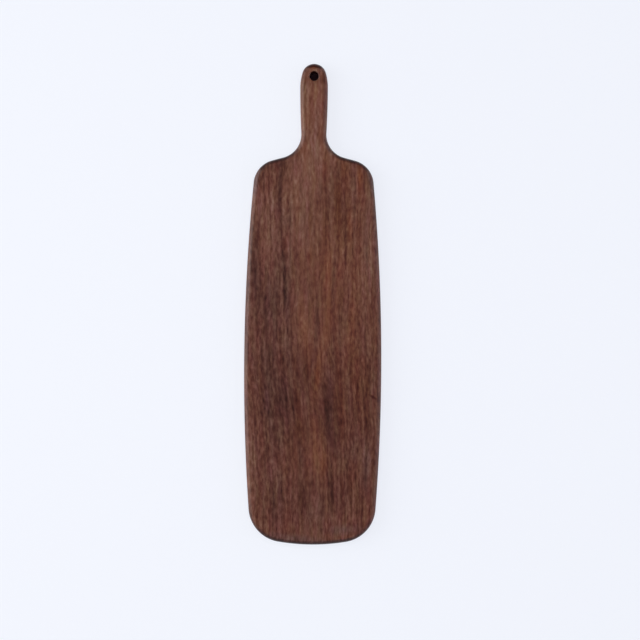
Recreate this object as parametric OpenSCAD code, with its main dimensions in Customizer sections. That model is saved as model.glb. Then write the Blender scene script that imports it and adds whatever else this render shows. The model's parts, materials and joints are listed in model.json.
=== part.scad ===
// Paddle-shaped serving board, edge-glued from three walnut staves.
// The board lies flat: X across, Y along the grain towards the handle, Z up.
// The origin is under the middle of its length and width, on the resting face.

/* [Board] */
// Overall length, from the handle's end to the blade's end
board_len = 420; // [380:1:460]
// Widest width of the blade
board_w = 120; // [104:1:150]
// Thickness of the planed board
board_t = 15; // [12:0.5:22]
// Radius of the round-over along the edges of both faces
edge_r = 4; // [2:0.5:5]

/* [Blade] */
// Height of the blade's widest place above the blade's end
belly_up = 155; // [135:1:175]
// Radius of the blade's long, slightly bowed sides
side_r = 1720; // [1300:10:3000]
// Radius of the blade's bowed end
end_r = 178; // [150:1:300]
// Radius of the two corners at the blade's end
corner_r = 31; // [22:1:38]
// Radius of the two shoulder corners
shoulder_r = 22; // [14:1:26]
// Slope of the straight run of each shoulder, in degrees
shoulder_slope = 15; // [10:1:20]
// Drop from the handle's end to the shoulders, measured along the handle's side
shoulder_drop = 78; // [72:1:96]

/* [Handle] */
// Widest width of the handle
grip_w = 24.2; // [23:0.2:30]
// Distance of the handle's widest place from its end
grip_down = 20.6; // [18:0.2:26]
// Radius of the handle's round end
tip_r = 10.6; // [9:0.2:11]
// Radius of the taper from the handle's widest place to its neck
taper_r = 740; // [500:10:1500]
// Radius of the hollow curves between the handle and the shoulders
neck_r = 21; // [14:1:24]

/* [Hanging hole] */
// Diameter of the hole drilled through the handle
hole_d = 8; // [6:0.5:9]
// Distance of the hole's centre from the handle's end
hole_down = 11; // [10:0.2:16]
// Width of the eased edge at both mouths of the hole
hole_ease = 0.6; // [0.3:0.1:0.8]

/* [Staves] */
// Width of the centre stave, which carries the handle; the side staves take the rest
centre_stave_w = 40; // [34:1:60]

/* [Hidden] */

// Most that a straight facet may stand off the curve it follows
facet_gap = 0.03;
// Facets in each quarter-round along the edges
round_facets = 5;
// How far a cutting solid runs past the board
overrun = 5;
bore_facets = 96;

half_len = board_len / 2;
half_w = board_w / 2;
half_grip = grip_w / 2;
half_centre = centre_stave_w / 2;
grip_y = half_len - grip_down;
belly_y = belly_up - half_len;

// Outline of the right half. It is a chain of arcs, each tangent to the next,
// and each centre below is where two tangencies meet.

function polar(centre, r, a) = centre + r * [cos(a), sin(a)];
function heading(from, to) = atan2(to.y - from.y, to.x - from.x);
// Point at distance ra from a and rb from b, to the right of the way from a to b
function meeting(a, ra, b, rb) =
    let (gap = norm(b - a))
    let (way = (b - a) / gap)
    let (along = (ra * ra - rb * rb + gap * gap) / (2 * gap))
    a + along * way + sqrt(ra * ra - along * along) * [way.y, -way.x];
// Point of the line through p, in direction way, at distance r from a
function line_point(p, way, a, r) =
    let (back = (p - a) * way)
    p + (sqrt(r * r + back * back - (p - a) * (p - a)) - back) * way;

tip_c = [0, half_len - tip_r];
// The bow joins the round end to the handle's widest place
bow_rise = tip_c.y - grip_y;
bow_r = (half_grip * half_grip + bow_rise * bow_rise - tip_r * tip_r) / (half_grip - tip_r) / 2;
bow_c = [half_grip - bow_r, grip_y];
taper_c = [half_grip - taper_r, grip_y];
side_c = [half_w - side_r, belly_y];
end_c = [0, end_r - half_len];

shoulder_way = [cos(shoulder_slope), -sin(shoulder_slope)];
shoulder_out = [sin(shoulder_slope), cos(shoulder_slope)];
shoulder_p = [half_grip, half_len - shoulder_drop];
neck_c = line_point(shoulder_p + neck_r * shoulder_out, shoulder_way, taper_c, taper_r + neck_r);
shoulder_c = line_point(shoulder_p - shoulder_r * shoulder_out, shoulder_way, side_c, side_r - shoulder_r);
corner_c = meeting(side_c, side_r - corner_r, end_c, end_r - corner_r);

bow_a = heading(bow_c, tip_c);
neck_a = heading(taper_c, neck_c);
side_a = heading(side_c, shoulder_c);
corner_a = heading(side_c, corner_c);
end_a = heading(end_c, corner_c);

// Each arc: centre, radius (negative where the outline is hollow), first and last
// angle, and whether the next arc starts where this one ends
arcs = [
    [tip_c, tip_r, 90, bow_a, true],
    [bow_c, bow_r, bow_a, 0, true],
    [taper_c, taper_r, 0, neck_a, true],
    [neck_c, -neck_r, 180 + neck_a, 270 - shoulder_slope, false],
    [shoulder_c, shoulder_r, 90 - shoulder_slope, side_a, true],
    [side_c, side_r, side_a, 0, true],
    [side_c, side_r, 0, corner_a, true],
    [corner_c, corner_r, corner_a, end_a, true],
    [end_c, end_r, end_a, -90, false],
];

function facets(r, turn) = max(1, ceil(abs(turn) / (2 * acos(1 - facet_gap / abs(r)))));

// Right half of the outline, from the handle's end to the blade's end, moved in by inset
function half_outline(inset) = [
    for (arc = arcs)
        let (turn = arc[3] - arc[2])
        let (steps = facets(arc[1], turn))
        for (i = [0 : arc[4] ? steps - 1 : steps])
            polar(arc[0], abs(arc[1]) - sign(arc[1]) * inset, arc[2] + turn * i / steps)
];

// The whole board before it is parted into staves: outlines stacked through the thickness

// Inset and height of each outline, from the resting face up to the working face
quarter = [for (i = [0 : round_facets]) 90 * i / round_facets];
levels = [
    for (a = quarter) [edge_r * (1 - sin(a)), edge_r * (1 - cos(a))],
    for (a = quarter) [edge_r * (1 - cos(a)), board_t - edge_r * (1 - sin(a))],
];

half_count = len(half_outline(0));
ring = 2 * half_count - 2;

function ring_points(level) =
    let (half = half_outline(level[0]))
    [
        for (p = half) [p.x, p.y, level[1]],
        for (i = [half_count - 2 : -1 : 1]) [-half[i].x, half[i].y, level[1]],
    ];

// Triangles of one flat face, paired across the middle line
function face_triangles(first, up) = [
    for (i = [0 : half_count - 2])
        let (right = [first + i, first + i + 1])
        let (left = [first + (ring - i) % ring, first + ring - i - 1])
        for (t = [[left[0], right[0], right[1]], [left[0], right[1], left[1]]])
            if (t[0] != t[1] && t[1] != t[2] && t[2] != t[0])
                up ? t : [t[2], t[1], t[0]]
];

function wall_triangles(first) = [
    for (i = [0 : ring - 1])
        let (next = (i + 1) % ring)
        each [
            [first + i, first + next, first + ring + next],
            [first + i, first + ring + next, first + ring + i],
        ]
];

module board_blank() {
    polyhedron(
        points = [for (level = levels) each ring_points(level)],
        faces = [
            each face_triangles(0, false),
            for (k = [0 : len(levels) - 2]) each wall_triangles(k * ring),
            each face_triangles((len(levels) - 1) * ring, true),
        ]
    );
}

// The part of the board between two glue lines, which run straight along the grain
module stave(left_x, right_x) {
    intersection() {
        board_blank();
        translate([left_x, -half_len - overrun, -overrun])
            cube([right_x - left_x, board_len + 2 * overrun, board_t + 2 * overrun]);
    }
}

// Drilled hole with its mouths eased on both faces
module hanging_hole() {
    translate([0, half_len - hole_down, 0]) {
        translate([0, 0, -overrun])
            cylinder(d = hole_d, h = board_t + 2 * overrun, $fn = bore_facets);
        for (face = [0, 1])
            translate([0, 0, face * board_t])
                mirror([0, 0, face])
                    translate([0, 0, -hole_ease])
                        cylinder(d1 = hole_d + 4 * hole_ease, d2 = hole_d, h = 2 * hole_ease, $fn = bore_facets);
    }
}

module left_stave() {
    color("#5d3a31")
        stave(-half_w - overrun, -half_centre);
}

module centre_stave() {
    color("#66423a")
        difference() {
            stave(-half_centre, half_centre);
            hanging_hole();
        }
}

module right_stave() {
    color("#573529")
        stave(half_centre, half_w + overrun);
}

left_stave();
centre_stave();
right_stave();
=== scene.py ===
"""Paddle-shaped walnut serving board, glued up from three staves, on a pale studio floor.

Lengths are in metres. X runs across the board, Y along the grain towards the handle, Z up.
"""

import json
import math

import bpy
from mathutils import Color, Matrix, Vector, geometry


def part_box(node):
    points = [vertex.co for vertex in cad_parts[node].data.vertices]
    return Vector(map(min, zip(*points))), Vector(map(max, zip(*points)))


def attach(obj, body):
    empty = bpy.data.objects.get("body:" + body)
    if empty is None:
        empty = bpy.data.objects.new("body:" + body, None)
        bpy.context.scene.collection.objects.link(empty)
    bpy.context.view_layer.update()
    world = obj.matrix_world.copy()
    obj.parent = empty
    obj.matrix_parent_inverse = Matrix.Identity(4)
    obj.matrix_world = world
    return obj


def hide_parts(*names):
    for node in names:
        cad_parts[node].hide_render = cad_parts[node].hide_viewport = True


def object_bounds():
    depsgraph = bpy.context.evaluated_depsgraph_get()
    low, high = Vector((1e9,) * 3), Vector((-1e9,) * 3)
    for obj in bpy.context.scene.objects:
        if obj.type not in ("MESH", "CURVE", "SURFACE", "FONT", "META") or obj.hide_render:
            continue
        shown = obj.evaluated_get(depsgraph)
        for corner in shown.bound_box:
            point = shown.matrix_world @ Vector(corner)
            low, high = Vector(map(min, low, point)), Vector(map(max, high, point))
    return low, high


bl_info = {
    "name": "Walnut Serving Board",
    "version": (1, 0, 0),
    "blender": (4, 5, 0),
    "location": "View3D > Sidebar > Serving Board",
    "description": "Builds a serving board of three glued walnut staves and a pale studio around it",
    "category": "Add Mesh",
}

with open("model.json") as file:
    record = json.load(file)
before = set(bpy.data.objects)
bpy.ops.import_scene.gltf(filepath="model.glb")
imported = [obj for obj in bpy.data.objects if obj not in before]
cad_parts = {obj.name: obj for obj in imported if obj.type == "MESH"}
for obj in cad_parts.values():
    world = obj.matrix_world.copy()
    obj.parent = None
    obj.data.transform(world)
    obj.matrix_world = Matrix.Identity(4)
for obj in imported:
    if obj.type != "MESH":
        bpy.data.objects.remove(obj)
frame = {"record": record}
CAD_LOW, CAD_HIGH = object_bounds()

MM = 0.001
BODY = "root"
HOLE = next(mount for mount in frame["record"]["mounts"] if mount["name"] == "hang_hole")
CENTRE_LOW, CENTRE_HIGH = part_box("centre_stave")


def seen_as(red, green, blue):
    """A colour as it shows on screen, each part from 0 to 255, in the values that Blender mixes."""
    seen = Color((red / 255, green / 255, blue / 255))
    return (*seen.from_srgb_to_scene_linear(), 1)


# Sizes, colours and light that a user may change


def maker(kind, **looks):
    """A function that makes one kind of property from its name, its description and its default."""

    def make(name, description, default):
        return kind(name=name, description=description, default=default, **looks)

    return make


amount = maker(bpy.props.FloatProperty)
length = maker(bpy.props.FloatProperty, subtype="DISTANCE", unit="LENGTH")
angle = maker(bpy.props.FloatProperty, subtype="ANGLE", unit="ROTATION")
colour = maker(bpy.props.FloatVectorProperty, subtype="COLOR", size=4, min=0, max=1)


class BoardSizes(bpy.types.PropertyGroup):
    """Driving sizes of the board, the same as those of its construction."""

    board_len: length("Length", "From the handle's end to the blade's end", CAD_HIGH.y - CAD_LOW.y)
    board_w: length("Width", "Widest width of the blade", CAD_HIGH.x - CAD_LOW.x)
    board_t: length("Thickness", "Thickness of the planed board", CAD_HIGH.z - CAD_LOW.z)
    edge_r: length("Edge radius", "Radius of the round-over along both faces", 4 * MM)
    belly_up: length("Belly height", "Height of the widest place above the blade's end", 155 * MM)
    side_r: length("Side radius", "Radius of the bowed sides", 1720 * MM)
    end_r: length("End radius", "Radius of the bowed end", 178 * MM)
    corner_r: length("Corner radius", "Radius of the corners at the blade's end", 31 * MM)
    shoulder_r: length("Shoulder radius", "Radius of the shoulder corners", 22 * MM)
    shoulder_slope: angle("Shoulder slope", "Slope of the straight run of each shoulder", math.radians(15))
    shoulder_drop: length("Shoulder drop", "From the handle's end to the shoulders", 78 * MM)
    grip_w: length("Handle width", "Widest width of the handle", 24.2 * MM)
    grip_down: length("Handle bow", "From the handle's end to its widest place", 20.6 * MM)
    tip_r: length("Handle end radius", "Radius of the handle's round end", 10.6 * MM)
    taper_r: length("Handle taper radius", "Radius of the taper towards the neck", 740 * MM)
    neck_r: length("Neck radius", "Radius of the hollow curves at the handle's foot", 21 * MM)
    hole_d: length("Hole", "Diameter of the hanging hole", 2 * HOLE["dims"]["r_mm"] * MM)
    hole_down: length("Hole drop", "From the handle's end to the hole", CAD_HIGH.y - HOLE["pos_m"][1])
    hole_ease: length("Hole easing", "Width of the rounded rim of the hole", 0.6 * MM)
    centre_stave_w: length("Centre stave", "Width of the centre stave", CENTRE_HIGH.x - CENTRE_LOW.x)


class WoodFinish(bpy.types.PropertyGroup):
    """Colours and figure of the oiled walnut, and the painted shade under the hanging hole."""

    warm_wood: colour("Warm wood", "Palest wood where it is most orange", seen_as(132, 84, 57))
    cool_wood: colour("Cool wood", "Palest wood where it is most purple", seen_as(119, 86, 77))
    stain: colour("Stain", "What one measure of stain leaves of the palest wood", (0.296, 0.135, 0.093, 1))
    # Painted shade: the dark floor seen through the hanging hole, in place of its shadow
    painted_hole_shade: colour("Hole shade", "Floor under the hanging hole", seen_as(49, 33, 39))
    pith_depth: length("Pith depth", "Depth of the rings' centre under the face, at the shoulders", 40 * MM)
    pith_tilt: amount("Pith tilt", "How fast the rings' centre falls away towards the blade's end", 0.033)
    ring_width: length("Ring width", "Mean width of a growth ring", 3.4 * MM)
    roughness: amount("Roughness", "Roughness of the oiled face", 0.38)


class StudioSetup(bpy.types.PropertyGroup):
    """Background, lamps and camera."""

    backdrop: colour("Backdrop", "Pale floor and surroundings", seen_as(244, 247, 255))
    shadow_share: amount("Shadow", "Share of the floor's look that the lamps give it", 0.2)
    ambient: amount("Ambient", "Brightness of the room near the horizon", 0.3)
    overhead: amount("Overhead", "Brightness of the room straight above, as a share of that", 0.1)
    key_level: amount("Key", "Brightness of the left softbox", 2.4)
    fill_level: amount("Fill", "Brightness of the right softbox", 0.9)
    head_level: amount("Head fill", "Brightness of the softbox beyond the handle", 0.12)
    foot_level: amount("Foot fill", "Brightness of the softbox beyond the blade", 0.55)
    top_level: amount("Top", "Brightness of the softbox overhead, which leaves no gloss", 3.0)
    lens: amount("Lens", "Focal length in millimetres", 100)
    camera_height: length("Camera height", "Height of the camera above the working face", 1549.6 * MM)
    camera_x: length("Camera across", "Place of the camera across the board", 6.16 * MM)
    camera_y: length("Camera along", "Place of the camera along the board", -13.73 * MM)
    camera_turn: angle("Camera turn", "Turn of the camera about its line of sight", math.radians(0.283))


# The outline: a chain of arcs down the right side, each tangent to the next

TURN_STEP = math.radians(3)
LONGEST_STEP = 5 * MM
# Step along the round end of the handle, which also sets the points round the hole
FINE_STEP = 0.6 * MM
# Steps in each quarter-round along the edges and round the rim of the hole
EDGE_STEPS = 10
RIM_STEPS = 4
# Steps from the last shared station to a glue line
SEAM_STEPS = 4
# Halvings in the search for the place where the outline crosses a glue line
HALVINGS = 60
# Points nearer to each other than this are one point
SAME_PLACE = 0.0001 * MM


class Arc:
    """A stretch of outline. The radius is negative where the outline is hollow."""

    def __init__(self, centre, radius, first, last, longest=LONGEST_STEP):
        self.centre = centre
        self.radius = radius
        self.first = first
        self.last = last
        turn = abs(last - first)
        self.steps = max(1, math.ceil(turn / TURN_STEP), math.ceil(turn * abs(radius) / longest))

    def at(self, share, inset):
        """Place and outward direction at a share of the way along, moved in by inset."""
        bearing = self.first + (self.last - self.first) * share
        away = Vector((math.cos(bearing), math.sin(bearing)))
        side = math.copysign(1, self.radius)
        return self.centre + (abs(self.radius) - side * inset) * away, side * away


class Run:
    """The straight stretch between two arcs."""

    def __init__(self, before, after):
        self.before = before
        self.after = after
        self.steps = max(1, math.ceil((after.at(0, 0)[0] - before.at(1, 0)[0]).length / LONGEST_STEP))

    def at(self, share, inset):
        start, out = self.before.at(1, inset)
        end = self.after.at(0, inset)[0]
        return start.lerp(end, share), out


def heading(start, end):
    return math.atan2(end.y - start.y, end.x - start.x)


def meeting(a, reach_a, b, reach_b):
    """Point at reach_a from a and reach_b from b, to the right of the way from a to b."""
    gap = (b - a).length
    way = (b - a) / gap
    along = (reach_a**2 - reach_b**2 + gap**2) / (2 * gap)
    return a + along * way + math.sqrt(reach_a**2 - along**2) * Vector((way.y, -way.x))


def line_point(start, way, a, reach):
    """Point of the line through start, in direction way, at distance reach from a."""
    back = (start - a).dot(way)
    return start + (math.sqrt(reach**2 + back**2 - (start - a).length_squared) - back) * way


class Outline:
    """The right half of the board's outline, from the handle's end to the blade's end."""

    def __init__(self, sizes):
        half_len = sizes.board_len / 2
        half_w = sizes.board_w / 2
        half_grip = sizes.grip_w / 2
        grip_y = half_len - sizes.grip_down
        slope = sizes.shoulder_slope
        tip = Vector((0, half_len - sizes.tip_r))
        bow_rise = tip.y - grip_y
        bow_r = (half_grip**2 + bow_rise**2 - sizes.tip_r**2) / (half_grip - sizes.tip_r) / 2
        bow = Vector((half_grip - bow_r, grip_y))
        taper = Vector((half_grip - sizes.taper_r, grip_y))
        side = Vector((half_w - sizes.side_r, sizes.belly_up - half_len))
        end = Vector((0, sizes.end_r - half_len))
        way = Vector((math.cos(slope), -math.sin(slope)))
        out = Vector((math.sin(slope), math.cos(slope)))
        foot = Vector((half_grip, half_len - sizes.shoulder_drop))
        neck = line_point(foot + sizes.neck_r * out, way, taper, sizes.taper_r + sizes.neck_r)
        shoulder = line_point(foot - sizes.shoulder_r * out, way, side, sizes.side_r - sizes.shoulder_r)
        corner = meeting(side, sizes.side_r - sizes.corner_r, end, sizes.end_r - sizes.corner_r)

        up = math.pi / 2
        bow_a = heading(bow, tip)
        neck_a = heading(taper, neck)
        side_a = heading(side, shoulder)
        corner_a = heading(side, corner)
        end_a = heading(end, corner)
        neck_arc = Arc(neck, -sizes.neck_r, math.pi + neck_a, 3 * up - slope)
        shoulder_arc = Arc(shoulder, sizes.shoulder_r, up - slope, side_a)
        lower_side = Arc(side, sizes.side_r, 0, corner_a)
        self.spans = [
            Arc(tip, sizes.tip_r, up, bow_a, FINE_STEP),
            Arc(bow, bow_r, bow_a, 0, FINE_STEP),
            Arc(taper, sizes.taper_r, 0, neck_a),
            neck_arc,
            Run(neck_arc, shoulder_arc),
            shoulder_arc,
            Arc(side, sizes.side_r, side_a, 0),
            lower_side,
            Arc(corner, sizes.corner_r, corner_a, end_a),
            Arc(end, sizes.end_r, end_a, -up),
        ]
        self.neck_start = self.spans.index(neck_arc)
        # Station of the widest place, between the two arcs of the side
        self.widest = self.spans.index(lower_side)
        self.end = len(self.spans)
        self.stations = []
        for number, span in enumerate(self.spans):
            self.stations.extend(number + step / span.steps for step in range(span.steps))
        self.stations.append(self.end)

    def at(self, station, inset):
        """Place and outward direction at a station, the number of a span plus a share of it."""
        number = min(int(station), self.end - 1)
        return self.spans[number].at(station - number, inset)

    def crossing(self, x, inset, inner, outer):
        """Station between two others at which the outline crosses x: it lies inside x at inner."""
        for _ in range(HALVINGS):
            middle = (inner + outer) / 2
            if self.at(middle, inset)[0].x < x:
                inner = middle
            else:
                outer = middle
        return inner


# Meshes

# Number of the level at each flat face, and the face's normal
FLATS = ((0, Vector((0, 0, -1))), (-1, Vector((0, 0, 1))))
# Times this, a place or a normal is mirrored to the other side of the board
FLIP = Vector((-1, 1, 1))


def placed(name, data):
    """A new object in the scene."""
    thing = bpy.data.objects.new(name, data)
    bpy.context.scene.collection.objects.link(thing)
    return thing


class Skin:
    """The points, faces and exact normals of one closed piece. A corner is a place and a normal."""

    def __init__(self):
        self.numbers = {}
        self.points = []
        self.faces = []
        self.normals = []

    def number(self, place):
        key = tuple(round(part / SAME_PLACE) for part in place)
        if key not in self.numbers:
            self.numbers[key] = len(self.points)
            self.points.append(place)
        return self.numbers[key]

    def face(self, corners):
        """Adds a face that looks the way its corners do, without corners that meet another."""
        kept = {}
        for place, normal in corners:
            kept.setdefault(self.number(place), normal)
        if len(kept) < 3:
            return
        numbers = list(kept)
        looks = geometry.normal([self.points[number] for number in numbers])
        if looks.dot(sum(kept.values(), Vector((0, 0, 0)))) < 0:
            numbers.reverse()
        self.faces.append(numbers)
        self.normals.extend(kept[number] for number in numbers)

    def grid(self, rows):
        """Fills the space between rows of corners, each as long as the next."""
        for low, high in zip(rows, rows[1:]):
            for i in range(len(low) - 1):
                self.face([low[i], low[i + 1], high[i + 1], high[i]])

    def piece(self, name, material):
        """The finished piece, riding on the board's body in place of the frame's node."""
        mesh = bpy.data.meshes.new(name)
        mesh.from_pydata(self.points, [], self.faces)
        mesh.shade_smooth()
        mesh.normals_split_custom_set([normal[:] for normal in self.normals])
        mesh.materials.append(material)
        piece = placed(name + "_wood", mesh)
        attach(piece, BODY)
        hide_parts(name)
        return piece


def corner_at(z, tilt, place, out):
    """A corner at height z, whose normal is tilted up from the outward direction."""
    return Vector((*place, z)), Vector((*(out * math.cos(tilt)), math.sin(tilt)))


def facing(corners, normal):
    """The same places, all with one normal."""
    return [(place, normal) for place, _ in corners]


def mirrored(rows):
    """The same rows on the left side of the board."""
    return [[(place * FLIP, normal * FLIP) for place, normal in row] for row in rows]


class Blank:
    """The board's skin before it is parted: the outline at each level of the rounded edges."""

    def __init__(self, sizes):
        self.sizes = sizes
        self.outline = Outline(sizes)
        self.seam_x = sizes.centre_stave_w / 2
        self.levels = rounded_levels(sizes.edge_r, sizes.board_t, EDGE_STEPS)
        outline = self.outline
        insets = [inset for inset, _, _ in self.levels]
        self.tops = [outline.crossing(self.seam_x, i, outline.neck_start, outline.widest) for i in insets]
        self.ends = [outline.crossing(self.seam_x, i, outline.end, outline.widest) for i in insets]
        self.handle = self.rows([0] * len(insets), self.tops)
        self.side = self.rows(self.tops, self.ends)
        self.foot = self.rows(self.ends, [outline.end] * len(insets))

    def rows(self, starts, stops):
        """Corners at each level, from its own start to its own stop, with shared stations between."""
        shared = [s for s in self.outline.stations if max(starts) < s < min(stops)]
        rows = []
        for (inset, z, tilt), start, stop in zip(self.levels, starts, stops):
            stations = [start, *shared, stop]
            if start > 0:
                stations[:1] = [start + (shared[0] - start) * i / SEAM_STEPS for i in range(SEAM_STEPS)]
            if stop < self.outline.end:
                last = shared[-1]
                stations[-1:] = [last + (stop - last) * (i + 1) / SEAM_STEPS for i in range(SEAM_STEPS)]
            rows.append([corner_at(z, tilt, *self.outline.at(station, inset)) for station in stations])
        return rows

    def seam_rows(self, side):
        """The seam's lines along both flat faces, with a point across from each station of the side."""
        x = side * self.seam_x
        return [[Vector((x, place.y, place.z)) for place, _ in self.side[level]] for level in (0, -1)]

    def close_seam(self, skin, side, normal):
        """Adds the glued face at one seam: its long middle and the rounded profile at both ends."""
        lines = [[(place, normal) for place in line] for line in self.seam_rows(side)]
        skin.grid(lines)
        rows = self.side if side > 0 else mirrored(self.side)
        for end in (0, -1):
            skin.face([(row[end][0], normal) for row in rows])


def rounded_levels(radius, thickness, steps):
    """Inset, height and tilt of the normal at each level of an edge rounded at both faces."""
    levels = []
    for base, first in ((radius, -math.pi / 2), (thickness - radius, 0)):
        for step in range(steps + 1):
            tilt = first + math.pi / 2 * step / steps
            levels.append((radius * (1 - math.cos(tilt)), base + radius * math.sin(tilt), tilt))
    return levels


def side_stave(blank, side):
    """One side stave: the board outside a glue line."""
    skin = Skin()
    rows = blank.side if side > 0 else mirrored(blank.side)
    skin.grid(rows)
    for (level, normal), line in zip(FLATS, blank.seam_rows(side)):
        skin.grid([facing(rows[level], normal), [(place, normal) for place in line]])
    blank.close_seam(skin, side, Vector((-side, 0, 0)))
    return skin


def centre_stave(blank):
    """The centre stave: the board between the glue lines, with the handle and the hanging hole."""
    skin = Skin()
    for rows in (blank.handle, blank.foot):
        skin.grid(rows)
        skin.grid(mirrored(rows))
    for side in (-1, 1):
        blank.close_seam(skin, side, Vector((side, 0, 0)))
    left_lines, right_lines = blank.seam_rows(-1), blank.seam_rows(1)
    hole = HangingHole(blank)
    for number, (level, normal) in enumerate(FLATS):
        skin.grid([[(place, normal) for place in lines[number]] for lines in (left_lines, right_lines)])
        foot = [facing(rows[level], normal) for rows in (blank.foot, mirrored(blank.foot))]
        skin.grid(foot)
        handle = [facing(rows[level], normal) for rows in (blank.handle, mirrored(blank.handle))]
        skin.grid([row[hole.below + 1:] for row in handle])
        hole.surround(skin, handle, normal)
    hole.drill(skin)
    return skin


class HangingHole:
    """The drilled hole. Its points lie on lines from its centre to the points of the wood around it."""

    def __init__(self, blank):
        sizes = blank.sizes
        self.centre = Vector((0, sizes.board_len / 2 - sizes.hole_down))
        self.radius = sizes.hole_d / 2
        self.levels = rounded_levels(sizes.hole_ease, sizes.board_t, RIM_STEPS)
        flat = blank.handle[0]
        lowest = self.centre.y - 2 * self.radius
        # Last station of the handle's flat that goes round the hole
        self.below = next(i for i, (place, _) in enumerate(flat) if place.y < lowest)
        corner = flat[self.below][0]
        # Points straight across the handle below the hole
        count = round(2 * corner.x / FINE_STEP)
        self.rung = [corner.lerp(corner * FLIP, i / count) for i in range(1, count)]
        right = [place for place, _ in flat[: self.below + 1]]
        left = [place * FLIP for place in reversed(right[1:])]
        loop = right + self.rung + left
        self.ways = [(place.xy - self.centre).normalized() for place in loop]

    def ring(self, level):
        """Corners round the hole at one level of its wall, closed by repeating the first."""
        inset, z, tilt = level
        reach = self.radius + inset
        return [corner_at(z, tilt, self.centre + way * reach, -way) for way in (*self.ways, self.ways[0])]

    def surround(self, skin, handle, normal):
        """Fills the flat face between the hole's rim and the handle's end."""
        right, left = handle
        z = right[0][0].z
        rung = [(Vector((place.x, place.y, z)), normal) for place in self.rung]
        loop = [*right[: self.below + 1], *rung, *reversed(left[: self.below + 1])]
        rim = facing(self.ring(self.levels[0 if normal.z < 0 else -1]), normal)
        skin.grid([loop, rim])
        skin.face([right[self.below], *rung, left[self.below], left[self.below + 1], right[self.below + 1]])

    def drill(self, skin):
        """Adds the wall of the hole, rounded over at both faces."""
        skin.grid([self.ring(level) for level in self.levels])


# Materials

# Distances from the board's middle where the floor begins to be plain and is all plain, in metres
FLOOR_PLAIN = (0.5, 1.5)
# Radii where the disc of painted shade under the hole starts to fade and ends, in diameters of the hole
SHADE_REACH = (1, 1.2)


def math_node(operation, swapped=False):
    """A method that adds a Math node, with the signal as its first input or, if swapped, its last."""

    def method(self, *others):
        inputs = (*others, self) if swapped else (self, *others)
        return self.graph.number("Math", dict(enumerate(inputs)), operation=operation)

    return method


class Signal:
    """A number that changes over a surface. Python's operators on it add Math nodes."""

    def __init__(self, graph, socket):
        self.graph = graph
        self.socket = socket

    __add__ = __radd__ = math_node("ADD")
    __sub__ = math_node("SUBTRACT")
    __rsub__ = math_node("SUBTRACT", swapped=True)
    __mul__ = __rmul__ = math_node("MULTIPLY")
    __truediv__ = math_node("DIVIDE")
    __rtruediv__ = math_node("DIVIDE", swapped=True)
    __pow__ = math_node("POWER")
    __abs__ = math_node("ABSOLUTE")
    root = math_node("SQRT")
    log = math_node("LOGARITHM")
    at_least = math_node("MAXIMUM")
    # What is left after the whole number
    fraction = math_node("FRACT")
    # This times the first amount, plus the second
    times_plus = math_node("MULTIPLY_ADD")

    def step(self, start, end):
        """Rises smoothly from 0 at start to 1 at end, or falls where start is the larger."""
        values = {"Value": self, "From Min": start, "From Max": end}
        return self.graph.number("MapRange", values, interpolation_type="SMOOTHSTEP")


class Graph:
    """The node tree of a new material or world. A node given as a value means its first output."""

    def __init__(self, owner):
        owner.use_nodes = True
        self.tree = owner.node_tree
        self.tree.nodes.clear()

    def add(self, kind, values=None, **settings):
        """Adds a node, sets its settings, then gives its sockets values or links."""
        node = self.tree.nodes.new("ShaderNode" + kind)
        for name, setting in settings.items():
            setattr(node, name, setting)
        for name, value in (values or {}).items():
            socket = node.inputs[name]
            if isinstance(value, Signal):
                value = value.socket
            if isinstance(value, bpy.types.Node):
                value = value.outputs[0]
            if isinstance(value, bpy.types.NodeSocket):
                self.tree.links.new(value, socket)
            else:
                socket.default_value = value
        return node

    def number(self, kind, values, **settings):
        """The same for a node whose first output is a number."""
        return Signal(self, self.add(kind, values, **settings).outputs[0])

    def vector(self, operation, values):
        """Vector Math, whose first output is a vector."""
        return self.add("VectorMath", values, operation=operation)

    def mix(self, factor, first, second):
        """A colour between two others, or past them where the factor is outside 0 to 1."""
        values = {0: factor, 6: first, 7: second}
        return self.add("Mix", values, data_type="RGBA", clamp_factor=False).outputs[2]

    def parts(self, vector):
        """The three parts of a vector, each a number of its own."""
        return [Signal(self, output) for output in self.add("SeparateXYZ", {0: vector}).outputs]

    def curve(self, value, places):
        """A smooth curve through given points, each from 0 to 1 both ways."""
        node = self.add("FloatCurve", {"Value": value})
        points = node.mapping.curves[0].points
        while len(points) < len(places):
            points.new(0, 0)
        for point, place in zip(points, places):
            point.location = place
            point.handle_type = "AUTO"
        node.mapping.update()
        return Signal(self, node.outputs[0])

    def rays(self):
        """Whether a ray comes straight from the camera, and whether it comes by way of gloss or glass."""
        outputs = self.add("LightPath").outputs
        kinds = ("Camera", "Glossy", "Transmission")
        camera, glossy, through = (Signal(self, outputs[f"Is {kind} Ray"]) for kind in kinds)
        return camera, glossy.at_least(through)


# How far a streak spreads, tapering, past the width and the ends that are written for it
SPREAD = 1.2
TAPER = 1.6
# Levels of orange that the wood gains by itself with each level of tone
HUE_OF_TONE = 0.3


class Mark:
    """A tapered streak or patch on the working face: most are its figure, a few are painted sheen and
    shade.

    Both ends are places across and along the board, in millimetres from its middle. The tone is how
    many levels of 255 the wood is lighter there, and the warmth how many levels more orange, both with
    a minus sign where it is darker or more purple. The fade is what its soft ends add to its length.
    """

    def __init__(self, half_width, tone, upper, lower, warmth=0, fade=8):
        way = Vector(upper) - Vector(lower)
        self.half_width = half_width * SPREAD
        self.half_length = (way.length * TAPER + fade) / 2
        self.middle = (Vector(upper) + Vector(lower)) / 2
        self.lean = math.atan2(-way.x, way.y)
        self.tone = tone
        self.warmth = warmth - HUE_OF_TONE * tone


# Tone down the board, lighter towards the handle, partly the wood's own and partly painted light: distance
# from the middle and level
LENGTHWISE = [
    (-210, 74), (-190, 70), (-165, 66), (-135, 67), (-95, 64), (-45, 68), (-20, 72),
    (50, 74), (90, 75), (125, 77), (140, 84), (185, 85), (210, 80),
]
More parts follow.
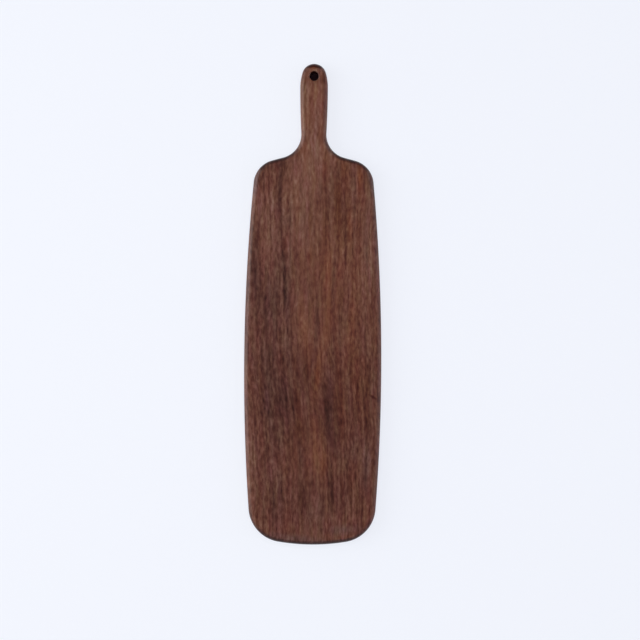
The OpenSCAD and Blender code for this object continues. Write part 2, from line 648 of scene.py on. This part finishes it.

# Figure of the working face, with painted sheen on the rims and painted shade at the handle's tip: a row
# for each mark, with what the mark asks for in its order
MARKS = [
    # broad tone and hue
    (16, 8, (-7, 130), (-8, 60), 2, 30),
    (9, 4, (-40, 100), (-38, 40), 1, 20),
    (11, -9, (25, 122), (27, 50), 1, 20),
    (12, -10, (-40, 20), (-37, -25), -8, 20),
    (16, -5, (-33, -50), (-26, -110), -6, 30),
    (10, 9, (-8, -5), (-8, -38), 13, 12),
    (12, 1, (34, 60), (32, -50), 2, 40),
    (26, 0, (-8, 110), (0, -20), 3, 30),
    (8, -8, (15, -75), (17, -120), -6, 16),
    (7, 4, (4, -96), (6, -150), 8, 16),
    # painted sheen on the left rim, over lighter orange wood
    (6, 13, (-57.5, -70), (-54, -192), 5, 30),
    (6, 5, (-50, -110), (-49, -190), 1, 30),
    (7, 8, (56, -70), (54, -165), 2, 30),
    (7, -6, (-38, 122), (-40, 100), -4, 12),
    (8, -4, (40, 122), (44, 100), 0, 12),
    (8, 3, (7, -128), (7, -144), 7, 14),
    (26, 0, (-42, 50), (-34, -120), -6, 30),
    (18, 0, (-36, -120), (-34, -190), -5, 20),
    (16, -4, (36, 10), (36, -70), 5, 20),
    (30, 0, (20, 110), (24, -60), 5, 30),
    (7, 0, (48, -118), (46, -168), -7, 14),
    # end grain that drank more oil at the handle's end, and painted shade on its rounded tip, which gets
    # little lamp light
    (3.4, -74, (-7, 209), (7, 209), 14, 3),
    (3, -16, (-8.5, 203), (-8, 195), 2),
    (3.4, -26, (9, 205), (9.5, 192), 2),
    (3, -16, (-6, 197), (5, 194), -4, 4),
    # greyer along the rims: painted sheen where the rounded edges reflect light, and a few patches of the
    # wood further in
    (4, 0, (-56, 50), (-58, -30), -12),
    (5, 5, (-50, 118), (-53, 98), -26, 10),
    (2.6, -12, (-19, 124.5), (-42, 118.5), -8),
    (4, -6, (50, 117), (52.5, 100), -26),
    (4.5, 0, (-36, -202), (2, -206), -18),
    (5, -2, (18, -197), (38, -196), -15),
    (40, 0, (0, -165), (0, -200), -7, 20),
    (3, -4, (54, 98), (55, 76), -10),
    (3.4, 0, (21, 120), (21, 108), -10, 5),
    (4, 0, (-51, 34), (-50, 12), -10),
    (3, 0, (-27, 88), (-26, 62), -9),
    (3, 0, (-36, -16), (-35, -34), 10),
    # dark limb of the cathedral figure down the left
    (4, -24, (-27.5, 130), (-28.6, 106), -10),
    (3.4, -17, (-29.6, 108), (-29.6, 84), -11),
    (3.4, -14, (-29, 84), (-28.4, 62), -8),
    (3.6, -16, (-27.6, 56), (-26, 36), -11),
    (4, -22, (-25.6, 36), (-24, 12), -11),
    (3.6, -18, (-24, 14), (-22.5, -6), -13),
    (3, -12, (-21.5, -10), (-18.6, -34), -5),
    (3, -11, (-18, -34), (-13.5, -58), -2),
    (3, -11, (-1, -38), (-6, -70)),
    # right of the middle
    (3.4, -13, (11, 135), (11.2, 84)),
    (3, -11, (11.8, 84), (12, 52), 1),
    (3, -8, (10, 50), (8, 24), -3),
    (3, -7, (7.2, 24), (7.5, 0), -2),
    (4, 7, (15.6, 120), (15, 90), 1),
    (4, 6, (13.6, 48), (12.5, 10), 14),
    (5, 7, (12, 10), (12.5, -28), 15),
    (5, 7, (8, -26), (4.5, -62), 15),
    (5, 2, (4, -56), (1, -84), 14),
    (3, -12, (21.8, 124), (21.6, 106)),
    (3, -10, (21.8, 100), (22.3, 66)),
    (2.6, -9, (22, 62), (22, 44), 1),
    (2.6, -9, (30.5, 98), (29.5, 58)),
    (2.6, 12, (17, 96), (17, 80)),
    (2.6, 13, (25.5, 96), (25, 78)),
    (3, 11, (31, 4), (30, -12)),
    (3, 8, (23.5, 6), (23, -14)),
    (3, -8, (17.6, -12), (17.4, -28)),
    (2.6, -11, (7, 98), (6.5, 76)),
    (3, 11, (33.5, 20), (33, 10), 0, 4),
    (3, 9, (-3, 16), (-6, -8)),
    (3, -8, (19.5, 38), (17.5, -26), -2),
    (3, -10, (17.3, -36), (17.4, -56), -2),
    (3.4, -15, (3.6, -6), (4.4, -26), -6),
    # upper left
    (3, -10, (-44, 118), (-48, 90), -4),
    (3, 9, (-15.5, 114), (-15, 92), 1),
    (3, 8, (-4, 122), (-3, 106)),
    (3, 8, (-11.5, 80), (-11, 55)),
    (2.4, -10, (-2.5, 80), (-2.5, 60)),
    (4, 8, (-37.5, 100), (-36, 85)),
    (3, 7, (-44, 90), (-42, 72)),
    (5, -20, (-52.6, 55), (-50.6, 10), -5),
    (3, -15, (-32.4, 18), (-31.6, -1), -7),
    (4, -16, (-45, 20), (-43, 0), -4),
    (3, -10, (-42, 0), (-40.5, -26), -4),
    (4, -13, (-50, -8), (-48.5, -24), -4),
    (3, 9, (-27.5, 20), (-28, 6), 3),
    (3, 16, (-27, 0), (-25.6, -14), 3),
    (3, 12, (-24.8, -24), (-23.6, -40), 2),
    (3, -12, (-30, -14), (-28.5, -32), -4),
    (4, -6, (-48, 60), (-45, 20), -3),
    (2.4, -14, (-45, 118), (-47, 104), -4),
    (3, -10, (-37.5, 118), (-37, 98)),
    (3.6, 9, (-20, 92), (-18, 82)),
    (6, -3, (-21, 82), (-21, 66), -9),
    (3, -17, (-1.5, 50), (-4, 34), 0, 4),
    (3.4, -11, (-9, 6), (-13, -12)),
    (3, -9, (-37, 2), (-36, -12)),
    (3, 10, (-33, 88), (-33, 80), 0, 4),
    (3, -12, (-47.5, 60), (-47, 50), 0, 4),
    (3, -9, (-25, 52), (-25, 42)),
    (3, -9, (-32, 8), (-32, -14)),
    (3, -12, (-17, -2), (-17, -14)),
    (3, -6, (-49.6, 82), (-48.4, 58)),
    # upper right
    (2.4, -7, (44.5, 112), (44.5, 96)),
    (2.6, 8, (48, 86), (48.5, 64)),
    (2.8, 12, (42.5, 58), (42.3, 8), 2),
    (3, 13, (49.5, 64), (48.8, 10), 3),
    (3, 0, (40, 120), (39.5, 98), 16),
    (3, 0, (26, 124), (26, 114), 9),
    (3, 0, (32, 84), (32, 54), 12),
    (2.4, -6, (39, 84), (39, 64)),
    (3, 7, (33, 84), (33, 66)),
    (4, -9, (44, 92), (45, 74)),
    (2.4, 9, (46, 60), (46.5, 30)),
    # middle right
    (3.6, 6, (30.5, -8), (30, -40), 2),
    (2.8, 11, (42, -34), (42.5, -68), 5),
    (3, 10, (49.4, -20), (49.6, -42), 1),
    (2.6, -9, (40.2, -68), (40.2, -98)),
    (3, -10, (46.5, -60), (46.6, -80)),
    (3, -16, (46.8, -86), (48.8, -120)),
    (2.4, -9, (51, -118), (53, -134)),
    (2.6, -16, (44, -46), (44, -53), 0, 4),
    (2.4, 8, (58.5, -55), (58.5, -90)),
    (4, -9, (34, -84), (37, -106)),
    (5, 0, (31, -70), (33, -98), -9),
    (2.6, 0, (19.5, -66), (20, -98), 9),
    (2.6, -13, (53, -28), (53, -42)),
    (3, -12, (14, -46), (15, -54), 0, 4),
    (3, -10, (23, -46), (22.5, -80)),
    (3.4, 11, (29, -58), (29, -74)),
    (2.4, -12, (54, -76), (54.5, -102)),
    # middle left
    (3, -11, (-37, -48), (-36, -66), -2),
    (3.4, -12, (-25.8, -42), (-25, -60)),
    (3.4, -15, (-24.6, -64), (-22, -90), -3),
    (3.4, -12, (-28, -76), (-27.6, -92), -4),
    (3.6, -15, (-14.6, -76), (-14.4, -94), -3),
    (3, -12, (-34.6, -86), (-32.5, -118)),
    (3, -10, (-45, -62), (-43, -90), -2),
    (3, 7, (-18.6, -54), (-18, -72), 2),
    (4, 7, (-48.5, -60), (-47, -78), 2),
    (4, 6, (-9.5, -78), (-9, -96)),
    (3, -13, (-29, -30), (-28, -46)),
    (3, -14, (-16.5, -48), (-14, -60)),
    (5, -9, (-52, -82), (-50, -106)),
    (5, 0, (-42.5, -78), (-43, -106), -9),
    (2.6, 14, (-36, -98), (-35.5, -112)),
    # partly painted sheen on the left rim
    (3, 13, (-54, -36), (-53, -52)),
    (2.6, -10, (-1, -34), (-1.5, -58)),
    (3, -12, (-31, -50), (-29, -60)),
    (3, -9, (-13, -60), (-10, -70)),
    (5, 8, (-29, -74), (-27, -92)),
    (3.4, -14, (-46.5, -76), (-43, -100)),
    (3, -10, (8, -84), (9, -112)),
    # dark band right of the middle, lower half
    (4.5, -8, (13, -72), (13.8, -118), -8),
    (3.4, -9, (19, -114), (20, -132), -6),
    (3.4, -15, (24, -70), (24.6, -120), 1),
    (3, -11, (14, -130), (15.4, -152), -3),
    (3.4, -20, (16, -152), (18.2, -175), -6),
    # lower end
    (3, -12, (-8.5, -106), (-7, -132)),
    (3, -9, (-17.8, -112), (-16.6, -132), -2),
    (3, -9, (-13, -100), (-12, -114)),
    (2.6, -9, (-7.5, -134), (-4.5, -152)),
    (3, -13, (-10.8, -158), (-9.6, -184), -3),
    (3, -16, (-6.6, -162), (-5.4, -182), -5),
    (3, 9, (2.6, -162), (2.2, -180), 1),
    (4, 7, (1, -128), (5, -156), 4),
    (3, -9, (-38.6, -124), (-38.4, -142)),
    (3, -8, (-36.8, -146), (-36, -172)),
    (4, -12, (-34.6, -174), (-33, -200), -2),
    (3, 9, (-29.4, -146), (-28.8, -160), 1),
    (4, 10, (46.6, -120), (46.4, -142)),
    (3, -11, (30.5, -144), (32.6, -166)),
    (3, -9, (25.6, -146), (26, -166)),
    (2.8, -12, (42.6, -158), (43.6, -192)),
    (3, 8, (39, -108), (38.6, -122)),
    (3, -6, (-19.4, -180), (-19, -200)),
    (4, 7, (26, -190), (26, -204), 2),
    (4, -16, (-31, -126), (-26, -146)),
    (5, 7, (-48, -122), (-47, -150)),
    (3, -8, (-12, -120), (-10, -138), -9),
    (4, 8, (-5, -122), (-2, -140)),
    (3, 16, (35, -122), (37, -137), 0, 5),
    (3, 10, (57.5, -118), (56.5, -138)),
    (4, -3, (46, -138), (46.5, -166), -9),
    (3.4, -12, (-44.5, -170), (-43, -184)),
    (3, 9, (-25, -176), (-26, -196)),
    (3, 8, (8, -166), (7, -184)),
    (5, -10, (26, -186), (31, -190), 0, 6),
    (3, 12, (10.5, -120), (9, -132), 0, 4),
    # partly painted sheen on the left rim
    (3, 11, (-57, -116), (-56.5, -132)),
    (5, 7, (-38, -140), (-40, -170)),
    (3.4, -9, (3, -158), (3, -172)),
    (3, 9, (38, -160), (37, -196)),
    # handle and neck
    (2.6, -9, (7.6, 190), (7.4, 160)),
    (3.4, 6, (2.5, 193), (3, 176), 12),
    (2.6, -16, (-6.5, 146), (-8.5, 136)),
    (2.6, -12, (-9.5, 136), (-14, 129)),
    (3, -12, (4, 150), (4.5, 142)),
    (6, 9, (4, 134), (5, 122), 0, 10),
    (4, 0, (-7, 152), (-7, 142), -10),
    (3, 0, (10, 143), (12.5, 135), -12),
    # small dark pin knot beside the right edge
    (1.3, -44, (50.4, -79.2), (54.6, -81.8), 0, 2),
]

# Levels of the palest wood without stain and with one full measure of it
PALE_LEVEL = 95
STAINED_LEVEL = 46
# Level of wood that has taken all the oil it can
DARKEST_LEVEL = 30
# Levels between the cool wood and the warm wood, as a share of their own level
HUE_SPAN = 0.3
# Hue of wood without warmth and of the greyest end grain: 0 is the cool wood and 1 the warm wood
PLAIN_HUE = 0.5
COOLEST_HUE = -0.4

# Noises of the wood: width and length of their lumps in millimetres, their detail and a seed of their own
NOISES = {
    "pith": (30, 130, 2, 1),
    "rings": (9, 45, 2, 2),
    "spacing": (60, 220, 2, 3),
    "bands": (4.5, 22, 2, 4),
    "lines": (2.3, 45, 0, 5),
    "blotches": (2.2, 6, 0, 6),
    "fibres": (1.1, 2.6, 1, 7),
    "pores": (0.9, 7, 0, 8),
    "hue": (6, 60, 2, 9),
    "sway": (9, 26, 2, 11),
    "drift": (40, 160, 2, 12),
    "waver": (8, 12, 2, 13),
    "blush": (5, 24, 2, 14),
}
# Shift of the noise across, along and down the wood from one seed to the next
SEED_SHIFT = (17.3, 9.1, 5.7)

# How far a noise moves things, in millimetres: the fibres, the marks, the tree's pith and its rings
SWAY = 3.2
DRIFT = 8
WAVER = 2.6
PITH_WANDER = 9
RING_WANDER = 1.6
# How many ring widths the rings are shifted, which sets them closer or wider
UNEVEN_RINGS = 1.2

# Lean of the fibres towards the middle, in millimetres: distance along the board from its middle and lean,
# and the range of its curve
LEAN = [(-210, 9), (-130, 8), (-20, 0), (210, 0)]
LEAN_RANGE = (0, 10)
# Lean on the right side as a share of that on the left, and where it changes from one to the other
RIGHT_LEAN = 0.3
LEAN_CHANGE = (60, -20)

# Levels that each texture adds to the tone or takes from it
TONES = {
    "bands": 10,
    "lines": 37,
    "blotches": 38,
    "fibres": 32,
    "late wood": -5,
    "pores": -10,
}
# How sharply the late wood of a ring sets in
LATE_WOOD = 3
# Noise where a pore starts and is full
PORE_EDGE = (0.1, 0.2)
# Strength of the textures along the middle of the board, what they gain beside it, and the distances
# from the middle where that starts and is full
CALM = 0.86
LIVELIER = 0.2
LIVELIER_FROM = (6, 30)
# Distances from a glue line where its dark hairline starts and is full, in millimetres, and its levels
GLUE_EDGE = (0.1, 0.03)
GLUE_TONE = -12
# Levels that end grain adds to the tone, partly painted shade where rounded edges turn away from the side
# lamps, the slopes of its normal where that starts and is full, and how much an edge that runs aslant is
# spared
END_GRAIN_AND_SHADE_TONE = -36
END_SLOPES = (0.05, 0.6)
SLANT_SPARED = 0.35
# Levels of orange that painted sheen takes from end grain on rounded edges, the share that square end walls
# are spared, and the slopes of the normal where both start and are full
END_SHEEN_GREY = 15
WALLS_SPARED = 0.8
ROUNDED_SLOPES = (0, 0.3)
WALL_SLOPES = (0.6, 1)
# Levels of orange that the hue noise is worth, the share of green that the blush is worth, and its mean
HUE_LEVELS = 24
BLUSH = 0.75
MEAN_GREEN = 0.985
# Shares of the thickness where the figure of the marks starts and is full
FIGURE_SHARES = (0.25, 0.75)
# Range of levels of the curve of the mean tone
TONE_RANGE = (60, 90)
# Strength of the mirror-like reflection, roughness that the blotches are worth, and the bump's relief
GLOSS = 0.4
UNEVEN_OIL = 0.12
FIBRE_HEIGHT = 0.5
PORE_HEIGHT = -0.6
BUMP_STRENGTH = 0.15
BUMP_DEPTH = 0.15 * MM


class Grain:
    """Where a point of the wood lies, in millimetres, and the noise that runs along the fibres there."""

    def __init__(self, graph, finish, sizes):
        self.graph = graph
        self.finish = finish
        self.sizes = sizes
        spot = graph.add("TexCoord")
        self.normal = spot.outputs["Normal"]
        self.place = graph.vector("SCALE", {0: spot.outputs["Object"], "Scale": 1 / MM})
        self.x, self.y, self.z = graph.parts(self.place)
        # Fibres wander a little from side to side, and lean towards the middle in the lower half
        lean = self.along(LEAN, *LEAN_RANGE) * (self.x.step(*LEAN_CHANGE) * (1 - RIGHT_LEAN) + RIGHT_LEAN)
        wander = self.noise("sway") * SWAY + self.noise("drift") * DRIFT - lean
        aside = graph.add("CombineXYZ", {"X": wander})
        self.place = graph.vector("ADD", {0: self.place, 1: aside})
        # The marks are drawn on the face and waver by less than a millimetre
        wavering = self.x + self.noise("waver") * WAVER
        self.drawn = graph.add("CombineXYZ", {"X": wavering, "Y": self.y})

    def noise(self, name):
        """One of the noises, from about -0.5 to 0.5."""
        graph = self.graph
        across, along, detail, seed = NOISES[name]
        scale = (1 / across, 1 / along, 1 / across)
        shift = [part * seed for part in SEED_SHIFT]
        place = graph.vector("MULTIPLY_ADD", {0: self.place, 1: scale, 2: shift})
        values = {"Vector": place, "Scale": 1.0, "Detail": detail}
        return graph.number("TexNoise", values, noise_dimensions="3D") - 0.5

    def ring_distance(self):
        """Distance from the tree's pith, which falls away under the board towards the blade's end."""
        finish = self.finish
        shoulder_y = (self.sizes.board_len / 2 - self.sizes.shoulder_drop) / MM
        depth = (shoulder_y - self.y) * finish.pith_tilt + finish.pith_depth / MM
        rise = self.z - self.sizes.board_t / MM + depth
        aside = self.x + self.noise("pith") * PITH_WANDER
        return (aside * aside + rise * rise).root() + self.noise("rings") * RING_WANDER

    def along(self, places, low, high):
        """A value that follows given points up the board, each a distance and the value there."""
        half_len = self.sizes.board_len / 2 / MM
        share = (self.y + half_len) / (2 * half_len)
        points = [((y + half_len) / (2 * half_len), (value - low) / (high - low)) for y, value in places]
        return self.graph.curve(share, points) * (high - low) + low

    def figure(self, rows):
        """Tone and warmth that the listed marks add up to."""
        graph = self.graph
        tone = warmth = 0
        for mark in (Mark(*row) for row in rows):
            values = {
                "Vector": self.drawn,
                "Location": (*mark.middle, 0),
                "Rotation": (0, 0, mark.lean),
                "Scale": (mark.half_width, mark.half_length, 1),
            }
            spot = graph.add("Mapping", values, vector_type="TEXTURE")
            falloff = graph.add("TexGradient", {"Vector": spot}, gradient_type="SPHERICAL")
            cover = Signal(graph, falloff.outputs["Fac"])
            tone = cover.times_plus(mark.tone, tone)
            warmth = cover.times_plus(mark.warmth, warmth)
        return tone, warmth


def wood_textures(grain):
    """What the wood's growth varies by itself."""
    rings = grain.ring_distance() / (grain.finish.ring_width / MM) + grain.noise("spacing") * UNEVEN_RINGS
    return {
        "bands": grain.noise("bands"),
        "lines": grain.noise("lines"),
        "blotches": grain.noise("blotches"),
        "fibres": grain.noise("fibres"),
        "late wood": rings.fraction() ** LATE_WOOD,
        "pores": grain.noise("pores").step(*PORE_EDGE),
    }


def wood_tone(grain, textures):
    """Level and warmth: the wood's figure and textures, glue lines, end grain, and painted shade and sheen.
    """
    sizes = grain.sizes
    texture = sum(signal * TONES[name] for name, signal in textures.items())
    # The textures are calmer along the middle of the board
    texture = texture * (abs(grain.x).step(*LIVELIER_FROM) * LIVELIER + CALM)

    # A hairline of glue where two staves meet
    seam = sizes.centre_stave_w / 2 / MM
    glue = abs(abs(grain.x) - seam).step(*GLUE_EDGE)

    # The marks, painted sheen and shade among them, belong to the working face and fade below it
    face = grain.z.step(*(share * sizes.board_t / MM for share in FIGURE_SHARES))
    change, warmth = grain.figure(MARKS)
    # End grain drinks more oil and is darker, less so where an edge runs aslant; the darkening is also
    # painted shade where rounded edges turn away from the side lamps
    across, lengthwise, _ = grain.graph.parts(grain.normal)
    ends = abs(lengthwise)
    square = ends - abs(across) * SLANT_SPARED
    level = grain.along(LENGTHWISE, *TONE_RANGE) + change * face + texture
    level = level + square.step(*END_SLOPES) * END_GRAIN_AND_SHADE_TONE + glue * GLUE_TONE
    # Painted sheen greys it too, light reflected on the rounded ends, though less on the square end walls
    sheen_grey = ends.step(*ROUNDED_SLOPES) - ends.step(*WALL_SLOPES) * WALLS_SPARED
    warmth = warmth * face + grain.noise("hue") * HUE_LEVELS - sheen_grey * END_SHEEN_GREY
    return level.at_least(DARKEST_LEVEL), warmth


def wood_colour(grain, level, warmth):
    """Colour of the wood where it has this level and this warmth."""
    graph = grain.graph
    finish = grain.finish
    hue = (warmth / (level * HUE_SPAN) + PLAIN_HUE).at_least(COOLEST_HUE)
    wood = graph.mix(hue, finish.cool_wood, finish.warm_wood)
    measure = (PALE_LEVEL / level).log(PALE_LEVEL / STAINED_LEVEL)
    stain = graph.add("Gamma", {0: finish.stain, 1: measure})
    wood = graph.vector("MULTIPLY", {0: wood, 1: stain})
    # Some streaks lean to pink and others to olive, which is a little less or more green
    green = MEAN_GREEN - grain.noise("blush") * BLUSH
    lean = graph.add("CombineXYZ", {"X": 1, "Y": green, "Z": 1})
    return graph.vector("MULTIPLY", {0: wood, 1: lean})


def walnut(finish, sizes):
    """Oiled walnut: rings, fibres, pores and a figure of marks, dark where the fibres end, partly painted
    shade.
    """
    material = bpy.data.materials.new("Oiled Walnut")
    graph = Graph(material)
    grain = Grain(graph, finish, sizes)
    textures = wood_textures(grain)
    wood = wood_colour(grain, *wood_tone(grain, textures))
    # The oil dries a little uneven, and the pores stay open
    rough = textures["blotches"] * UNEVEN_OIL + finish.roughness
    height = textures["fibres"] * FIBRE_HEIGHT + textures["pores"] * PORE_HEIGHT
    bump = graph.add("Bump", {"Strength": BUMP_STRENGTH, "Distance": BUMP_DEPTH, "Height": height})
    looks = {"Base Color": wood, "Roughness": rough, "Specular IOR Level": GLOSS, "Normal": bump}
    graph.add("OutputMaterial", {"Surface": graph.add("BsdfPrincipled", looks)})
    return material


def board_material(context):
    """The walnut, made once and shared by the staves."""
    made = bpy.data.materials.get("Oiled Walnut")
    return made or walnut(context.scene.walnut_finish, context.scene.board_sizes)


def floor_material(studio, sizes, painted_hole_shade):
    """Pale floor: it shows its plain colour to the eye and keeps a share of the lamps' light and shadow."""
    material = bpy.data.materials.new("Pale Floor")
    graph = Graph(material)
    lit = graph.add("BsdfDiffuse", {"Color": studio.backdrop})
    plain = graph.add("Emission", {"Color": studio.backdrop})
    spot = graph.add("TexCoord")
    aside, up, _ = graph.parts(spot.outputs["Object"])
    # Painted shade: under the hanging hole the floor is painted dark, in place of the shadow in the hole
    along = up - (sizes.board_len / 2 - sizes.hole_down)
    clear = (aside * aside + along * along).root().step(*(reach * sizes.hole_d for reach in SHADE_REACH))
    camera, passed_on = graph.rays()
    seen = camera.at_least(passed_on)
    # Painted shade: a dark floor under the hole, standing in for its shadow
    under = graph.add("BsdfDiffuse", {"Color": painted_hole_shade})
    # Far from the board, where its shadow doesn't reach, the floor is plain
    distance = (aside * aside + up * up).root()
    unlit = seen * (distance.step(*FLOOR_PLAIN) * studio.shadow_share + (1 - studio.shadow_share))
    open_floor = graph.add("MixShader", {0: unlit, 1: lit, 2: plain})
    shader = graph.add("MixShader", {0: clear, 1: under, 2: open_floor})
    graph.add("OutputMaterial", {"Surface": shader})
    return material


# Operators

# Half the side of the square floor, and its drop below the board, in metres
FLOOR_REACH = 12.0
FLOOR_DROP = 0.2 * MM
# Heights of a direction where mirrored surroundings change from plain backdrop to room, and where the room
# darkens towards its ceiling, from 0 at the horizon to 1 overhead
BACKDROP_END = (0.25, 0.1)
CEILING = (0.2, 0.8)
# Width of the camera's picture plane in millimetres
SENSOR = 36


class SERVINGBOARD_OT_side_staves(bpy.types.Operator):
    """Build the left and the right stave"""

    bl_idname = "serving_board.side_staves"
    bl_label = "Side Staves"

    def execute(self, context):
        blank = Blank(context.scene.board_sizes)
        material = board_material(context)
        for name, side in (("left_stave", -1), ("right_stave", 1)):
            side_stave(blank, side).piece(name, material)
        return {"FINISHED"}


class SERVINGBOARD_OT_centre_stave(bpy.types.Operator):
    """Build the centre stave with the handle and the hanging hole"""

    bl_idname = "serving_board.centre_stave"
    bl_label = "Centre Stave"

    def execute(self, context):
        blank = Blank(context.scene.board_sizes)
        centre_stave(blank).piece("centre_stave", board_material(context))
        return {"FINISHED"}


class SERVINGBOARD_OT_studio(bpy.types.Operator):
    """Set up the pale floor, the soft lamps and the camera straight above the board"""

    bl_idname = "serving_board.studio"
    bl_label = "Studio"

    def execute(self, context):
        scene = context.scene
        studio = scene.studio_setup
        sizes = scene.board_sizes
        scene.view_settings.view_transform = "Standard"
        self.add_floor(scene, studio, sizes)
        self.add_world(scene, studio)
        self.add_lamps(studio)
        self.add_camera(scene, studio, sizes)
        return {"FINISHED"}

    def add_floor(self, scene, studio, sizes):
        corners = [(-1, -1), (1, -1), (1, 1), (-1, 1)]
        mesh = bpy.data.meshes.new("floor")
        places = [(x * FLOOR_REACH, y * FLOOR_REACH, -FLOOR_DROP) for x, y in corners]
        mesh.from_pydata(places, [], [(0, 1, 2, 3)])
        mesh.materials.append(floor_material(studio, sizes, scene.walnut_finish.painted_hole_shade))
        placed("floor", mesh)

    def add_world(self, scene, studio):
        world = bpy.data.worlds.new("Studio")
        scene.world = world
        graph = Graph(world)
        spot = graph.add("TexCoord")
        up = graph.parts(spot.outputs["Generated"])[2]
        camera, passed_on = graph.rays()
        seen = (passed_on * up.step(*BACKDROP_END)).at_least(camera)
        near = studio.ambient
        far = near * studio.overhead
        room = graph.mix(up.step(*CEILING), (near, near, near, 1.0), (far, far, far, 1.0))
        light = graph.mix(seen, room, studio.backdrop)
        background = graph.add("Background", {"Color": light})
        graph.add("OutputWorld", {"Surface": background})

    def add_lamps(self, studio):
        """Softboxes: name, brightness, colour, place, width and height. Each faces the board's middle."""
        white = (1.0, 1.0, 1.0)
        boxes = [
            ("key", studio.key_level, white, (-1.3, 0.1, 0.7), 1.3, 2.0),
            ("fill", studio.fill_level, (0.95, 0.97, 1.15), (1.25, 0.0, 0.9), 1.1, 1.8),
            ("head_fill", studio.head_level, white, (0.0, 1.4, 0.9), 1.4, 0.9),
            ("foot_fill", studio.foot_level, white, (0.0, -1.4, 0.9), 1.4, 0.9),
            ("top", studio.top_level, white, (0.0, 0.0, 1.8), 1.2, 1.2),
        ]
        for name, level, tint, place, width, height in boxes:
            data = bpy.data.lights.new(name, "AREA")
            data.shape = "RECTANGLE"
            data.size = width
            data.size_y = height
            data.color = tint
            data.energy = math.pi * width * height * level
            lamp = placed(name, data)
            lamp.location = place
            lamp.rotation_euler = Vector(place).to_track_quat("Z", "Y").to_euler()
            lamp.visible_camera = False
            # The top light only fills: its reflection would grey the face seen from above
            lamp.visible_glossy = name != "top"

    def add_camera(self, scene, studio, sizes):
        data = bpy.data.cameras.new("overhead")
        data.lens = studio.lens
        data.sensor_width = SENSOR
        camera = placed("overhead", data)
        camera.location = (studio.camera_x, studio.camera_y, sizes.board_t + studio.camera_height)
        camera.rotation_euler = (0, 0, studio.camera_turn)
        scene.camera = camera


class SERVINGBOARD_PT_panel(bpy.types.Panel):
    """The board's operators and sizes in the sidebar"""

    bl_label = "Serving Board"
    bl_space_type = "VIEW_3D"
    bl_region_type = "UI"
    bl_category = "Serving Board"

    def draw(self, context):
        layout = self.layout
        for operator in OPERATORS:
            layout.operator(operator.bl_idname)
        for settings in PROPERTIES:
            group = getattr(context.scene, settings)
            column = layout.column()
            for name in group.bl_rna.properties.keys():
                if name not in ("rna_type", "name"):
                    column.prop(group, name)


OPERATORS = (SERVINGBOARD_OT_studio, SERVINGBOARD_OT_centre_stave, SERVINGBOARD_OT_side_staves)
PROPERTIES = {"board_sizes": BoardSizes, "walnut_finish": WoodFinish, "studio_setup": StudioSetup}
CLASSES = (*PROPERTIES.values(), *OPERATORS, SERVINGBOARD_PT_panel)


def register():
    for cls in CLASSES:
        bpy.utils.register_class(cls)
    for name, group in PROPERTIES.items():
        setattr(bpy.types.Scene, name, bpy.props.PointerProperty(type=group))


def unregister():
    for name in PROPERTIES:
        delattr(bpy.types.Scene, name)
    for cls in reversed(CLASSES):
        bpy.utils.unregister_class(cls)


def main():
    register()
    bpy.ops.serving_board.studio()
    bpy.ops.serving_board.centre_stave()
    bpy.ops.serving_board.side_staves()


if __name__ == "__main__":
    main()
